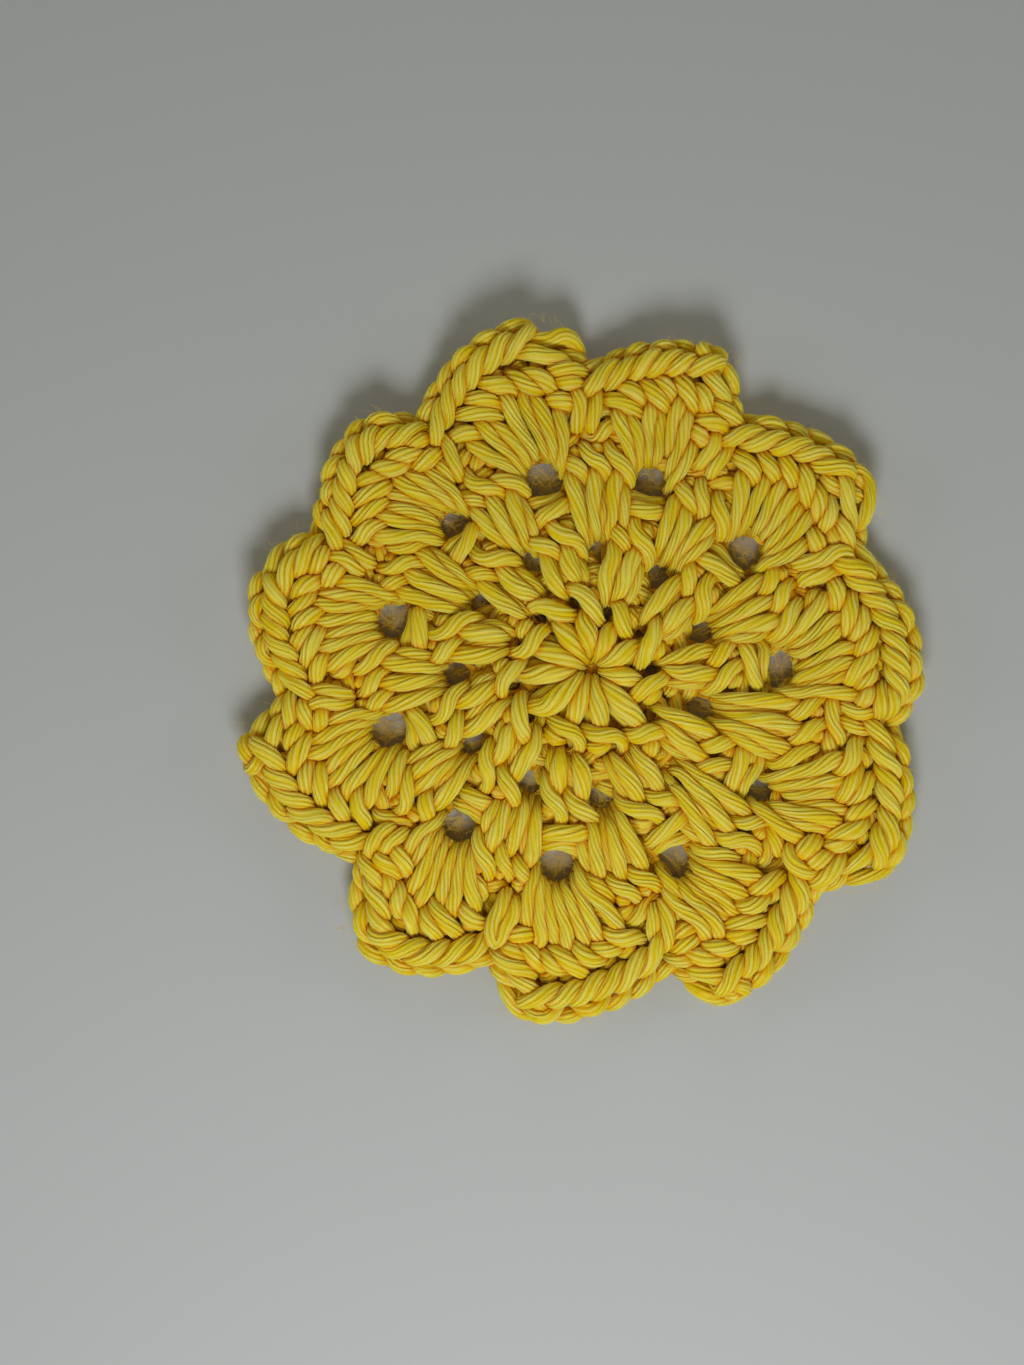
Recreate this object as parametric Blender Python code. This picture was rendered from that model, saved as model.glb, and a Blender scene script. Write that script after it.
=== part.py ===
"""A crocheted cotton coaster: a flower of eleven petals, worked in four rounds from the middle outwards.

One solid. Its underside is flat where it lies on a table, the petals cup upwards at their rims, the open
gaps of the stitch pattern are cut through, and every stitch stands up from the top as a soft rib.
Metres, +Z up. The origin is the middle of the starting ring, at the table.
"""

import math

import bpy
from mathutils import Vector
from mathutils.geometry import delaunay_2d_cdt, intersect_line_line_2d

MM = 0.001

# The eleven sections, counter-clockwise from the one on +X. Angles in degrees, lengths in mm.
# hole: the large gap that the petal is worked into. notch: the dip on the petal's clockwise side.
# tip: its highest reach. eye: the smaller gap that follows the section. start: where the
# second round's pair stands in the first round. lift: how far the rim curls up from the table.
# across and along: half a gap's size across and along the radius; one of 0 is drawn shut.
SECTION_COLUMNS = (
    "hole_at", "hole_out", "notch_at", "notch_out", "tip_at", "tip_out",
    "eye_at", "eye_out", "start_at", "start_out", "lift",
    "hole_across", "hole_along", "eye_across", "eye_along",
)
SECTION_ROWS = (
    (0.0, 28.9, -10.0, 47.2, -0.5, 50.9, 18.6, 17.8, -1.0, 9.4, 3.6, 3.0, 2.1, 1.5, 2.3),
    (37.2, 29.6, 24.5, 45.2, 34.5, 51.9, 54.6, 17.5, 36.0, 9.6, 3.8, 2.6, 2.7, 1.5, 2.4),
    (72.4, 30.0, 60.0, 44.8, 68.5, 52.7, 87.0, 18.0, 73.5, 9.0, 4.6, 2.4, 2.5, 1.6, 2.0),
    (104.0, 30.0, 91.0, 46.5, 102.0, 54.5, 119.5, 18.8, 104.0, 10.6, 5.2, 2.6, 2.9, 1.4, 2.1),
    (133.5, 30.7, 125.5, 46.6, 134.0, 52.4, 149.7, 20.1, 134.0, 11.2, 4.2, 2.1, 2.1, 1.5, 1.7),
    (166.0, 31.4, 154.5, 47.6, 165.5, 53.8, 182.1, 20.9, 160.5, 12.2, 4.6, 3.0, 2.5, 1.6, 2.5),
    (196.8, 32.4, 185.5, 48.0, 193.5, 55.4, 212.5, 21.5, 191.5, 12.3, 4.0, 2.5, 3.0, 1.2, 2.5),
    (229.8, 31.6, 220.0, 46.2, 231.5, 56.0, 241.6, 20.0, 219.5, 12.2, 3.4, 2.5, 2.5, 1.6, 2.2),
    (259.9, 30.6, 251.5, 47.0, 259.5, 54.8, 274.0, 20.0, 254.0, 12.2, 3.2, 2.7, 2.7, 1.95, 2.35),
    (293.4, 32.2, 285.5, 47.5, 293.0, 55.4, 307.8, 21.6, 288.0, 12.6, 3.4, 2.2, 2.7, 0.0, 0.0),
    (323.9, 32.0, 316.5, 48.2, 327.0, 55.4, 340.3, 17.9, 321.5, 11.4, 3.6, 1.5, 2.2, 1.65, 2.7),
)
SECTIONS = [dict(zip(SECTION_COLUMNS, row)) for row in SECTION_ROWS]
FULL_TURN = 360.0

# A petal rises steeply from its clockwise notch to its tip and falls slowly to the next notch.
STEEP_SIDE = 4.0
SLOW_SIDE = 1.8

# Where each round's stitches end, from the centre, in mm, and how many stand in a section.
RING_OUT = 1.6
FIRST_TOP = 14.4
SECOND_TOP = 25.6
THIRD_TOP = 38.2
PAIR_SPREAD = 9.5
THREE_SPREAD = 8.5
SHELL_STITCHES = 7
SHELL_MARGIN = 0.09

# The feet of the stitches: half the angle over which a group fans out of its gap, in degrees,
# and how far its foot stands out from the gap's middle, in mm.
PAIR_FOOT = (3.5, 1.8)
THREE_FOOT = (4.5, 3.2)
SHELL_FOOT = (7.0, 4.2)
# The short stitch between two petals: how far past the notch it stands, in degrees, half its
# width in degrees, and how far it stays inside the notch, in mm.
SHORT_LEAN = 2.0
SHORT_HALF = 2.6
SHORT_INSIDE = 1.9

HOLE_STEPS = 12

# The fabric, in mm. A rib stands above the fabric's top face, and a valley lies below it.
THICKNESS = 4.3
RIB = 0.75
VALLEY = 0.8
# A rib's height along its stitch, as a share of RIB: the drawn-out foot, the fat wrap at mid
# height, the neck above it, and the braid that the stitch ends in.
RIB_PROFILE = ((0.0, 0.6), (0.45, 1.25), (0.72, 0.75), (0.92, 1.6), (1.0, 1.3))
NOTCH_LIFT = 1.2
REST_SHARE = 0.70
CURL = 1.5
EDGE_ROUND = 0.9
EDGE_DROP = 0.75
SCALLOP = 0.45
CENTRE_DIMPLE = 1.2

# How finely the faces are divided. Points nearer to an edge than CLEAR are left out.
RIM_STEPS_PER_STITCH = 2
RIB_STEPS = (5, 5, 5, 3, 7)
UNDERSIDE_RINGS = (6.0, 12.0, 24.5, 36.0)
UNDERSIDE_RISE = (0.78, 0.86, 0.94)
UNDERSIDE_STEPS = 33
CLEAR = 0.75
WELD = 1e-5

YARN_COLOUR = (0.78, 0.57, 0.045, 1.0)
YARN_ROUGHNESS = 0.85


def section_after(k):
    """The next section counter-clockwise, with its angles carried on past a full turn."""
    row = dict(SECTIONS[(k + 1) % len(SECTIONS)])
    if k + 1 >= len(SECTIONS):
        for name in row:
            if name.endswith("_at"):
                row[name] += FULL_TURN
    return row


def place(angle, out):
    return Vector((out * math.cos(math.radians(angle)), out * math.sin(math.radians(angle))))


def polar(point):
    return math.degrees(math.atan2(point.y, point.x)), point.length


def section_at(angle):
    """The section whose petal covers this angle, the next one, and the angle carried into their turn."""
    first = SECTIONS[0]["notch_at"]
    angle = first + (angle - first) % FULL_TURN
    for k, row in enumerate(SECTIONS):
        after = section_after(k)
        if row["notch_at"] <= angle <= after["notch_at"]:
            return row, after, angle
    raise ValueError("the sections don't close the circle")


def from_tip(angle):
    """How far an angle is from its petal's tip, 0 at the tip and 1 at a notch, with the petal's rows."""
    row, after, angle = section_at(angle)
    if angle < row["tip_at"]:
        share = (row["tip_at"] - angle) / (row["tip_at"] - row["notch_at"])
        return row, row, share, STEEP_SIDE
    share = (angle - row["tip_at"]) / (after["notch_at"] - row["tip_at"])
    return row, after, share, SLOW_SIDE


def reach(angle):
    """The outline, in mm from the centre."""
    row, notch, share, power = from_tip(angle)
    return row["tip_out"] - (row["tip_out"] - notch["notch_out"]) * share**power


def underside(angle, out):
    """Flat on the table in the middle, curling up under the petals' rims."""
    row, _, share, power = from_tip(angle)
    lift = row["lift"] + (NOTCH_LIFT - row["lift"]) * share**power
    edge = reach(angle)
    rise = max(0.0, (out / edge - REST_SHARE) / (1 - REST_SHARE))
    return lift * rise**CURL


def topside(angle, out, rib):
    return underside(angle, out) + THICKNESS + rib


def rib_height(share):
    """How far a rib stands above the fabric, at a share of its stitch's length."""
    for (low, first), (high, last) in zip(RIB_PROFILE, RIB_PROFILE[1:]):
        if share <= high:
            return RIB * (first + (last - first) * (share - low) / (high - low))
    return RIB * RIB_PROFILE[-1][1]


def fan(foot, foot_out, head, head_out, stitches):
    """The crest and valley lines of stitches that fan out of one gap, each (foot, head, is a crest).

    foot and head are the lowest and highest angle; head_out is a length, or a function of the angle.
    """
    lines = []
    for n in range(2 * stitches + 1):
        share = n / (2 * stitches)
        foot_at = foot[0] + (foot[1] - foot[0]) * share
        head_at = head[0] + (head[1] - head[0]) * share
        out = head_out(head_at) if callable(head_out) else head_out
        lines.append((place(foot_at, foot_out), place(head_at, out), n % 2 == 1))
    return lines


def around(angle, half):
    return angle - half, angle + half


def first_round(row, after):
    """One stitch between neighbouring starts, out of the drawn-in ring."""
    head = (row["start_at"], after["start_at"])
    return fan(head, RING_OUT, head, FIRST_TOP, 1)[:-1]


def second_round(row, after):
    """A pair out of the start, ending under the large hole."""
    half, out = PAIR_FOOT
    foot = around(row["start_at"], half)
    return fan(foot, row["start_out"] + out, around(row["hole_at"], PAIR_SPREAD), SECOND_TOP, 2)


def third_round(row, after):
    """Three out of the eye, ending between two large holes."""
    half, out = THREE_FOOT
    foot = around(row["eye_at"], half)
    middle = (row["hole_at"] + after["hole_at"]) / 2
    return fan(foot, row["eye_out"] + out, around(middle, THREE_SPREAD), THIRD_TOP, 3)


def short_stitch(row, after):
    """The stitch that ties the fabric down between two petals."""
    head = around(row["notch_at"] + SHORT_LEAN, SHORT_HALF)
    return fan(head, THIRD_TOP, head, row["notch_out"] - SHORT_INSIDE, 1)


def fourth_round(row, after):
    """A shell out of the large hole, ending on the rim."""
    half, out = SHELL_FOOT
    foot = around(row["hole_at"], half)
    width = after["notch_at"] - row["notch_at"]
    head = (row["notch_at"] + SHELL_MARGIN * width, after["notch_at"] - SHELL_MARGIN * width)
    rim = EDGE_ROUND + CLEAR
    return fan(foot, row["hole_out"] + out, head, lambda angle: reach(angle) - rim, SHELL_STITCHES)


def stitch_lines():
    """Every crest and valley as a row of points: (place, height of the top face)."""
    rows = []
    rounds = (first_round, second_round, third_round, short_stitch, fourth_round)
    for make, steps in zip(rounds, RIB_STEPS):
        for k, section in enumerate(SECTIONS):
            for foot, head, crest in make(section, section_after(k)):
                line = []
                for n in range(steps):
                    share = n / (steps - 1)
                    spot = foot.lerp(head, share)
                    angle, out = polar(spot)
                    rib = rib_height(share) if crest else -VALLEY
                    line.append((spot, topside(angle, out, rib)))
                rows.append(line)
    rows.append([(Vector((0.0, 0.0)), THICKNESS - CENTRE_DIMPLE)])
    return rows


def rim_ring(inset):
    """The outline, counter-clockwise, scalloped by the stitch tops and drawn in by inset."""
    ring = []
    for k, row in enumerate(SECTIONS):
        after = section_after(k)
        steps = RIM_STEPS_PER_STITCH * SHELL_STITCHES + 2
        for n in range(steps):
            angle = row["notch_at"] + (after["notch_at"] - row["notch_at"]) * n / steps
            wave = SCALLOP * (n % RIM_STEPS_PER_STITCH) if n else 0.0
            ring.append(place(angle, reach(angle) + wave - inset))
    return ring


def gap_ring(at, out, half, inset):
    """An oval gap, clockwise, opened by inset."""
    middle = place(at, out)
    outward = middle.normalized()
    across = Vector((-outward.y, outward.x))
    ring = []
    for n in range(HOLE_STEPS):
        turn = 2 * math.pi * n / HOLE_STEPS
        ring.append(
            middle
            + across * (half[0] + inset) * math.cos(turn)
            + outward * (half[1] + inset) * math.sin(turn)
        )
    return ring


def all_rings(inset):
    """The rim, then the large holes, then the eyes that are open."""
    rings = [rim_ring(inset)]
    for gap in ("hole", "eye"):
        for row in SECTIONS:
            half = (row[gap + "_across"], row[gap + "_along"])
            if min(half) > 0.0:
                rings.append(gap_ring(row[gap + "_at"], row[gap + "_out"], half, inset))
    return rings


def inside(point, ring):
    """Whether a point lies within a closed ring."""
    within = False
    for a, b in zip(ring, ring[1:] + ring[:1]):
        if (a.y > point.y) != (b.y > point.y):
            if point.x < a.x + (b.x - a.x) * (point.y - a.y) / (b.y - a.y):
                within = not within
    return within


def near(point, ring, distance):
    """Whether a point lies within a distance of a closed ring's edge."""
    for a, b in zip(ring, ring[1:] + ring[:1]):
        along = b - a
        share = max(0.0, min(1.0, (point - a).dot(along) / along.length_squared))
        if (point - a - along * share).length < distance:
            return True
    return False


def on_fabric(point, rings, distance):
    if not inside(point, rings[0]) or any(inside(point, ring) for ring in rings[1:]):
        return False
    return not any(near(point, ring, distance) for ring in rings)


def thinned(lines, rings, distance):
    """The points that lie on the fabric, clear of its edges and of each other, and the runs between them."""
    kept, runs = [], []
    for line in lines:
        last = None
        for spot, height in line:
            if on_fabric(spot, rings, distance) and all(
                (spot - other).length > distance for other, _ in kept
            ):
                if last is not None:
                    runs.append((last, len(kept)))
                last = len(kept)
                kept.append((spot, height))
            else:
                last = None
    return kept, runs


def clear_runs(points, runs, rings, distance):
    """The runs that cross neither each other nor a gap, so that the triangles can follow them."""
    kept = []
    for a, b in runs:
        start, end = points[a][0], points[b][0]
        crossed = any(
            {a, b}.isdisjoint((c, d)) and intersect_line_line_2d(start, end, points[c][0], points[d][0])
            for c, d in kept
        )
        if not crossed and on_fabric((start + end) / 2, rings, distance):
            kept.append((a, b))
    return kept


def face_triangles(rings, inner, runs):
    """Triangles over the fabric between the rings, as indices into the rings' points and then inner."""
    spots = [p for ring in rings for p in ring]
    edges = []
    first = 0
    for ring in rings:
        count = len(ring)
        edges += [(first + n, first + (n + 1) % count) for n in range(count)]
        first += count
    edges += [(first + a, first + b) for a, b in runs]
    spots += [p for p, _ in inner]
    made, _, faces, origins, _, _ = delaunay_2d_cdt(spots, edges, [], 1, WELD)
    index = [origin[0] for origin in origins]
    triangles = []
    for face in faces:
        middle = sum((made[i] for i in face), Vector((0.0, 0.0))) / len(face)
        if inside(middle, rings[0]) and not any(inside(middle, ring) for ring in rings[1:]):
            triangles.append([index[i] for i in face])
    return triangles


def underside_lines():
    """Even rings on the flat middle, then rows that follow the rim as it curls up."""
    lines = [[(Vector((0.0, 0.0)), 0.0)]]
    for n in range(UNDERSIDE_STEPS):
        angle = FULL_TURN * n / UNDERSIDE_STEPS
        outs = UNDERSIDE_RINGS if n % 3 == 0 else UNDERSIDE_RINGS[1:]
        lines.append([(place(angle, out), 0.0) for out in outs])
    for n in range(2 * UNDERSIDE_STEPS):
        angle = FULL_TURN * n / (2 * UNDERSIDE_STEPS)
        outs = [reach(angle) * share for share in UNDERSIDE_RISE]
        lines.append([(place(angle, out), underside(angle, out)) for out in outs])
    return lines


def coaster_mesh():
    """The top face, the underside and the rounded walls of the rim and of every gap, as one closed mesh."""
    edge_rings = all_rings(EDGE_ROUND)
    wall_rings = all_rings(0.0)
    edge = [p for ring in edge_rings for p in ring]
    wall = [p for ring in wall_rings for p in ring]
    top_inner, ribs = thinned(stitch_lines(), edge_rings, CLEAR)
    ribs = clear_runs(top_inner, ribs, edge_rings, CLEAR / 3)
    low_inner, _ = thinned(underside_lines(), edge_rings, 2 * CLEAR)

    verts = []
    for p in edge:
        verts.append((p, topside(*polar(p), -EDGE_DROP)))
    verts += top_inner
    low_first = len(verts)
    for p in edge:
        verts.append((p, underside(*polar(p))))
    verts += low_inner
    wall_first = len(verts)
    for p, q in zip(wall, edge):
        verts.append((p, underside(*polar(q)) + THICKNESS / 2))

    faces = face_triangles(edge_rings, top_inner, ribs)
    for triangle in face_triangles(edge_rings, low_inner, []):
        faces.append([low_first + i for i in reversed(triangle)])
    first = 0
    for ring in edge_rings:
        count = len(ring)
        for n in range(count):
            a, b = first + n, first + (n + 1) % count
            faces.append([a, wall_first + a, wall_first + b, b])
            faces.append([wall_first + a, low_first + a, low_first + b, wall_first + b])
        first += count

    mesh = bpy.data.meshes.new("coaster")
    mesh.from_pydata([(p.x * MM, p.y * MM, z * MM) for p, z in verts], [], faces)
    mesh.validate()
    mesh.shade_smooth()
    return mesh


def cotton_yarn():
    """Matte yellow cotton."""
    material = bpy.data.materials.new("cotton_yarn")
    material.use_nodes = True
    shader = material.node_tree.nodes["Principled BSDF"]
    shader.inputs["Base Color"].default_value = YARN_COLOUR
    shader.inputs["Roughness"].default_value = YARN_ROUGHNESS
    shader.inputs["Metallic"].default_value = 0.0
    return material


def main():
    for old in list(bpy.data.objects):
        bpy.data.objects.remove(old, do_unlink=True)
    mesh = coaster_mesh()
    mesh.materials.append(cotton_yarn())
    coaster = bpy.data.objects.new("coaster", mesh)
    bpy.context.scene.collection.objects.link(coaster)


main()
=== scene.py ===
"""The looks of a crocheted cotton coaster: one plied yarn, followed loop by loop through all its stitches.

The yarn is laid out on a flat fabric first (x and y across it, w through its thickness, in mm). There it
settles, so that its loops press on each other. Then it is swept as a twisted bundle of plies, and bent to
the coaster's form.
"""

import math

import bpy
import numpy as np
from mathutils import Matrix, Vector, kdtree
from mathutils.geometry import delaunay_2d_cdt

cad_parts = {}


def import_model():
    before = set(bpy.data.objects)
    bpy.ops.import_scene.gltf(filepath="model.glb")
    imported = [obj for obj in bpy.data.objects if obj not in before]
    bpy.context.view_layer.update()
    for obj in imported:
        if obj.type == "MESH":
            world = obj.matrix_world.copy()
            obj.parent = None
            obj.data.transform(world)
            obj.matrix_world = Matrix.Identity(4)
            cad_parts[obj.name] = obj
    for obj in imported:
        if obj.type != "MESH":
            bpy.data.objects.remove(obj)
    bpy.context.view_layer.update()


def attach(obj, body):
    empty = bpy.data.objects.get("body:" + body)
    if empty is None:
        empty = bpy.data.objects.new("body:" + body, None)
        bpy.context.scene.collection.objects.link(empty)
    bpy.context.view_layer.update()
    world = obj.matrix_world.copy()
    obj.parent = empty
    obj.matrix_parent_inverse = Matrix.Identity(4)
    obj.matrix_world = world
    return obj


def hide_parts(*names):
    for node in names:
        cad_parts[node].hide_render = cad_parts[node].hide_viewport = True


MM = 0.001
FULL_TURN = 360.0

# The eleven sections, counter-clockwise from the one on +X, as in the solid. Angles in degrees, lengths in
# mm. hole: the large gap that the petal is worked into. notch: the dip on the petal's clockwise side. tip:
# its highest reach. eye: the smaller gap that follows the section. start: where the second round's pair
# stands in the first round. lift: how far the rim curls up. tie: where the short stitch loops in. across
# and along: half a gap's size across and along the radius; one of 0 is drawn shut.
SECTION_COLUMNS = (
    "hole_at", "hole_out", "notch_at", "notch_out", "tip_at", "tip_out",
    "eye_at", "eye_out", "start_at", "start_out", "lift", "tie_at", "tie_out",
    "hole_across", "hole_along", "eye_across", "eye_along",
)
SECTION_ROWS = (
    (0.0, 28.9, -10.0, 47.2, -0.5, 50.9, 18.6, 17.8, -1.0, 9.4, 3.6, -9.0, 39.0, 3.0, 2.1, 1.5, 2.3),
    (37.2, 29.6, 24.5, 45.2, 34.5, 51.9, 54.6, 17.5, 36.0, 9.6, 3.8, 26.0, 35.2, 2.6, 2.7, 1.5, 2.4),
    (72.4, 30.0, 60.0, 44.8, 68.5, 52.7, 87.0, 18.0, 73.5, 9.0, 4.6, 61.0, 34.9, 2.4, 2.5, 1.6, 2.0),
    (104.0, 30.0, 91.0, 46.5, 102.0, 54.5, 119.5, 18.8, 104.0, 10.6, 5.2, 92.5, 36.4, 2.6, 2.9, 1.4, 2.1),
    (133.5, 30.7, 125.5, 46.6, 134.0, 52.4, 149.7, 20.1, 134.0, 11.2, 4.2, 127.5, 36.4, 2.1, 2.1, 1.5, 1.7),
    (166.0, 31.4, 154.5, 47.6, 165.5, 53.8, 182.1, 20.9, 160.5, 12.2, 4.6, 157.0, 38.2, 3.0, 2.5, 1.6, 2.5),
    (196.8, 32.4, 185.5, 48.0, 193.5, 55.4, 212.5, 21.5, 191.5, 12.3, 4.0, 188.5, 38.2, 2.5, 3.0, 1.2, 2.5),
    (229.8, 31.6, 220.0, 46.2, 231.5, 56.0, 241.6, 20.0, 219.5, 12.2, 3.4, 220.0, 38.2, 2.5, 2.5, 1.6, 2.2),
    (259.9, 30.6, 251.5, 47.0, 259.5, 54.8, 274.0, 20.0, 254.0, 12.2, 3.2, 252.5, 37.2, 2.7, 2.7, 1.95, 2.35),
    (293.4, 32.2, 285.5, 47.5, 293.0, 55.4, 307.8, 21.6, 288.0, 12.6, 3.4, 286.5, 38.2, 2.2, 2.7, 0.0, 0.0),
    (323.9, 32.0, 316.5, 48.2, 327.0, 55.4, 340.3, 17.9, 321.5, 11.4, 3.6, 319.5, 41.3, 1.5, 2.2, 1.65, 2.7),
)
SECTIONS = [dict(zip(SECTION_COLUMNS, row)) for row in SECTION_ROWS]

# The powers with which a petal's outline falls from its tip: on its clockwise side, and on the other one.
STEEP_SIDE = 4.0
SLOW_SIDE = 1.8

# How the rim rises: the notches' height in mm, the share of the reach that lies flat, the power of the
# rise, and the most of it that a place outside the outline gets.
NOTCH_LIFT = 1.2
REST_SHARE = 0.70
CURL = 1.5
MOST_RISE = 1.4

# The narrow gaps that the solid leaves shut, as half sizes in mm across and along the radius: beside the
# leaves of the first round, in the starting ring, and where an eye is drawn shut.
START_HALF = (0.9, 1.4)
MIDDLE_HALF = (0.8, 0.8)
SHUT_HALF = (0.6, 1.2)

# How much narrower a gap is at the back of the fabric; 1 is shut there.
HOLE_TAPER = 0.25
EYE_TAPER = 0.6
START_TAPER = 0.9
SHUT_TAPER = 1.0

# The yarn: its thickness in mm, its plies, and in mm the length of one turn of their twist and the distance
# between its rings of points.
YARN = 2.35
PLIES = 9
TWIST = 26.0
STEP = 1.0

# The fabric, in mm: half its thickness, and how far a strand's middle may lie from the fabric's middle.
HALF_FABRIC = 2.75
DEEPEST = 1.70
HIGHEST = 2.50

SEED = 11

# How far, in mm, the hand that works it strays from an even stitch: each place in it strays a third as far,
# and all of it half as far through the fabric. Also by what share the stitch's fatness changes.
UNEVEN = 0.32
UNEVEN_FAT = 0.05


def turned(vector):
    """A quarter turn counter-clockwise, in the plane."""
    return np.array([-vector[1], vector[0]])


def place(angle, out):
    """The place at an angle in degrees and so many mm out from the middle."""
    return out * np.array([math.cos(math.radians(angle)), math.sin(math.radians(angle))])


def round_middle(angles, outs):
    """The places at an array of angles in degrees, each its own distance out from the middle."""
    return np.stack([outs * np.cos(np.radians(angles)), outs * np.sin(np.radians(angles))], 1)


def along_way(spots):
    """How far along the way through them each of the spots is."""
    return np.concatenate([[0.0], np.cumsum(np.linalg.norm(np.diff(spots, axis=0), axis=1))])


def section(k):
    """Section k, with its angles carried on past a full turn, either way."""
    row = dict(SECTIONS[k % len(SECTIONS)])
    carried = FULL_TURN * (k // len(SECTIONS))
    for name in row:
        if name.endswith("_at"):
            row[name] += carried
    return row


def column(name):
    """One column of the sections, as an array."""
    return np.array([row[name] for row in SECTIONS])


def from_tip(angle):
    """For an array of angles: each one's petal, the section whose notch it falls to, and how far it has
    fallen, from 0 at the tip to 1 at the notch."""
    first = SECTIONS[0]["notch_at"]
    angle = first + np.mod(angle - first, FULL_TURN)
    k = np.searchsorted(column("notch_at"), angle, side="right") - 1
    tip = column("tip_at")[k]
    right = angle < tip
    after = (k + 1) % len(SECTIONS)
    notch_before = column("notch_at")[k]
    notch_after = column("notch_at")[after] + np.where(after == 0, FULL_TURN, 0.0)
    share = np.where(right, (tip - angle) / (tip - notch_before), (angle - tip) / (notch_after - tip))
    power = np.where(right, STEEP_SIDE, SLOW_SIDE)
    return k, np.where(right, k, after), np.clip(share, 0.0, 1.0) ** power


def reach(angle):
    """The outline, in mm from the centre, for an array of angles."""
    k, notch, fall = from_tip(np.asarray(angle, float))
    tip = column("tip_out")[k]
    return tip - (tip - column("notch_out")[notch]) * fall


def underside(x, y):
    """How high the coaster's underside stands over the table."""
    angle = np.degrees(np.arctan2(y, x))
    out = np.hypot(x, y)
    k, _, fall = from_tip(angle)
    lift = column("lift")[k] + (NOTCH_LIFT - column("lift")[k]) * fall
    rise = np.clip((out / reach(angle) - REST_SHARE) / (1 - REST_SHARE), 0.0, MOST_RISE)
    return lift * rise**CURL


class Stitch:
    """One stitch: where its loop goes in (foot), where its top lies, and how its strands are spread.

    pitch: its width at the foot and at the top, in mm. wraps: for each yarn-over, its distance below the
    top and its slope, in mm, and its fatness. twin: how far to the front its second pulled-up strand lies,
    in yarns. leaf: the fatness of its pulled-up loop. neck: how far to the front the strand round its neck
    lies, in yarns, and its fatness. shown: how much of the loop along its top shows, from 0 to 1, and dip
    how far that loop sags, in mm. under: how far its foot reaches behind what it is worked into, in yarns.
    """

    pitch = (1.7, 4.4)
    wraps = ((5.2, 1.5, 1.45),)
    twin = 0.35
    leaf = 1.28
    neck = (0.55, 1.1)
    shown = 1.0
    dip = 0.0
    under = 0.1

    def __init__(self, kind, foot, top, **spread):
        self.kind = kind
        self.foot = foot
        self.top = top
        vars(self).update(spread)


# How the strands of each round's stitches are spread, where that differs from Stitch's own values.
FIRST_STITCH = dict(pitch=(1.2, 6.5), wraps=((4.0, 1.9, 1.15),), twin=0.15, leaf=1.4, shown=0.1)
PAIR_STITCH = dict(pitch=(2.0, 4.8), wraps=((5.8, 3.2, 1.05),), leaf=1.15, under=0.3)
THREE_STITCH = dict(pitch=(2.0, 4.6), wraps=((6.0, 3.0, 1.02),), twin=0.6, leaf=0.98, shown=0.0, under=1.0)
SHELL_STITCH = dict(pitch=(1.9, 4.9), twin=-0.35, leaf=0.95, neck=(0.1, 0.95), under=0.6)
TIE_STITCH = dict(pitch=(2.4, 3.4))

# The first round: how far out its loops go in and how far short of an eye its tops end, in mm, the lean of
# its tops in degrees, and the least half size that an eye counts with, in mm.
RING_OUT = 1.9
LEAF_SHORT = 2.5
LEAF_LEAN = 1.5
LEAST_EYE = 2.0

# The second round: how far its feet stand past the start gap's middle and how far short of the large hole
# its tops end, in mm, and its feet's spread to each side in degrees. For each of its pair: the side, its
# top's degrees from the large hole, the sag of its top loop in mm, and how much of that loop shows.
PAIR_PAST_START = 1.4
PAIR_SHORT = 0.7
PAIR_SPREAD = 4.5
PAIR = ((-1, -4.0, 2.2, 0.0), (1, 7.5, 0.0, 0.9))

# The third round: its lean, and its feet's and its tops' spread, in degrees; in mm how far its tops pass
# the short stitch's foot, the furthest out that this foot counts, and how far its feet pass an eye's edge,
# or stand inside the middle of one that is shut.
THREE_LEAN = 1.5
FOOT_SPREAD = 4.8
TOP_SPREAD = 6.4
PAST_TIE = 1.5
FURTHEST_TIE = 38.6
PAST_EYE = 1.0
INSIDE_SHUT_EYE = 1.0

# The chain stitch over each large hole: how far past its edge it lies, in mm, and its lean in degrees.
PAST_HOLE = 1.9
CHAIN_LEAN = 1.0


def rounds():
    """The stitches of each round, counter-clockwise, which is the way they are worked."""
    first, second, third, fourth = [], [], [], []
    for k in range(len(SECTIONS)):
        row, after = section(k), section(k + 1)
        eye, eye_out = row["eye_at"], row["eye_out"]
        leaf_out = eye_out - max(row["eye_along"], LEAST_EYE) - LEAF_SHORT
        first.append(Stitch("tall", place(eye, RING_OUT), place(eye + LEAF_LEAN, leaf_out), **FIRST_STITCH))
        foot_out = row["start_out"] + PAIR_PAST_START
        pair_out = row["hole_out"] - row["hole_along"] - PAIR_SHORT
        for side, top_at, dip, shown in PAIR:
            foot = place(row["start_at"] + PAIR_SPREAD * side, foot_out)
            top = place(row["hole_at"] + top_at, pair_out)
            second.append(Stitch("tall", foot, top, dip=dip, shown=shown, **PAIR_STITCH))
        foot_out = eye_out + (row["eye_along"] + PAST_EYE if row["eye_along"] > 0.0 else -INSIDE_SHUT_EYE)
        middle = (row["hole_at"] + after["hole_at"]) / 2 + THREE_LEAN
        three_out = min(after["tie_out"], FURTHEST_TIE) + PAST_TIE
        for side in (-1, 0, 1):
            foot = place(eye + FOOT_SPREAD * side, foot_out)
            third.append(Stitch("tall", foot, place(middle + TOP_SPREAD * side, three_out), **THREE_STITCH))
        hole = place(after["hole_at"], after["hole_out"])
        chain_out = after["hole_out"] + after["hole_along"] + PAST_HOLE
        third.append(Stitch("chain", hole, place(after["hole_at"] + CHAIN_LEAN, chain_out), shown=0.0))
        fourth += petal(k)
    return first, second, third, fourth


# The short stitch at a notch, in mm: how far inside its tie place its foot is, and how far inside the notch
# its top is, which leans so many degrees.
TIE_FOOT_SHORT = 0.4
TIE_TOP_SHORT = 1.6
TIE_LEAN = 0.6

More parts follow.
